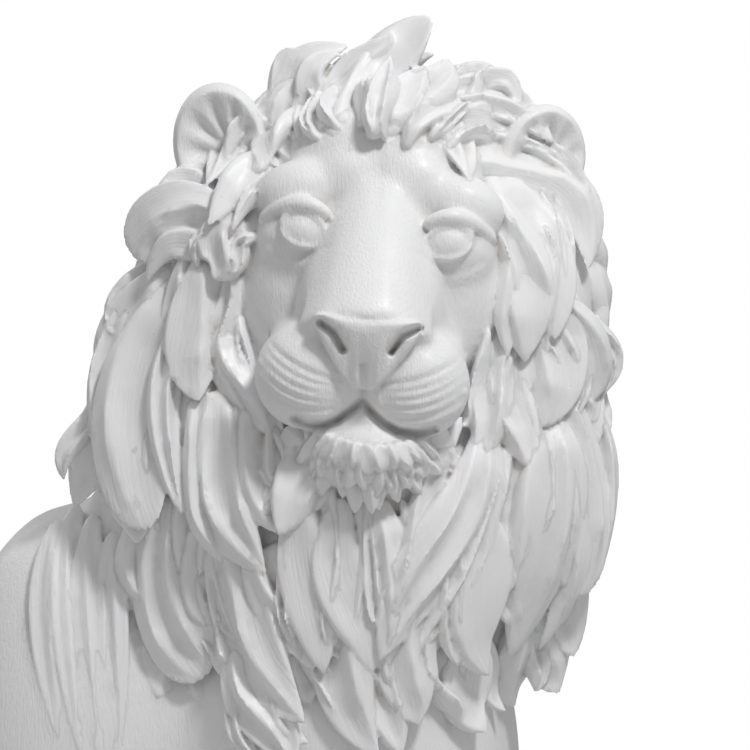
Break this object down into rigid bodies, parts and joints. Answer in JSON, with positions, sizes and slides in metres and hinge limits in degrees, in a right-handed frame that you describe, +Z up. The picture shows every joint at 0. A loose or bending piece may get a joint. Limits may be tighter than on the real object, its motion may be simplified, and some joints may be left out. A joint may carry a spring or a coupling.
{
  "type": "lion bust sculpture",
  "caption": "White painted resin bust of a male lion, head, full mane and shoulders, cut flat below to stand on a shelf or plinth.",
  "frame": {"origin": "on the flat underside, below the middle of the head", "axes": "+Z up, the lion's face looks along -Y, its near shoulder lies towards -X"},
  "size_m": [0.5231, 0.4224, 0.5979],
  "materials": {
    "painted_resin": "white satin paint over cast resin"
  },
  "bodies": {
    "root": {"lion_bust": "painted_resin"}
  },
  "joints": []
}
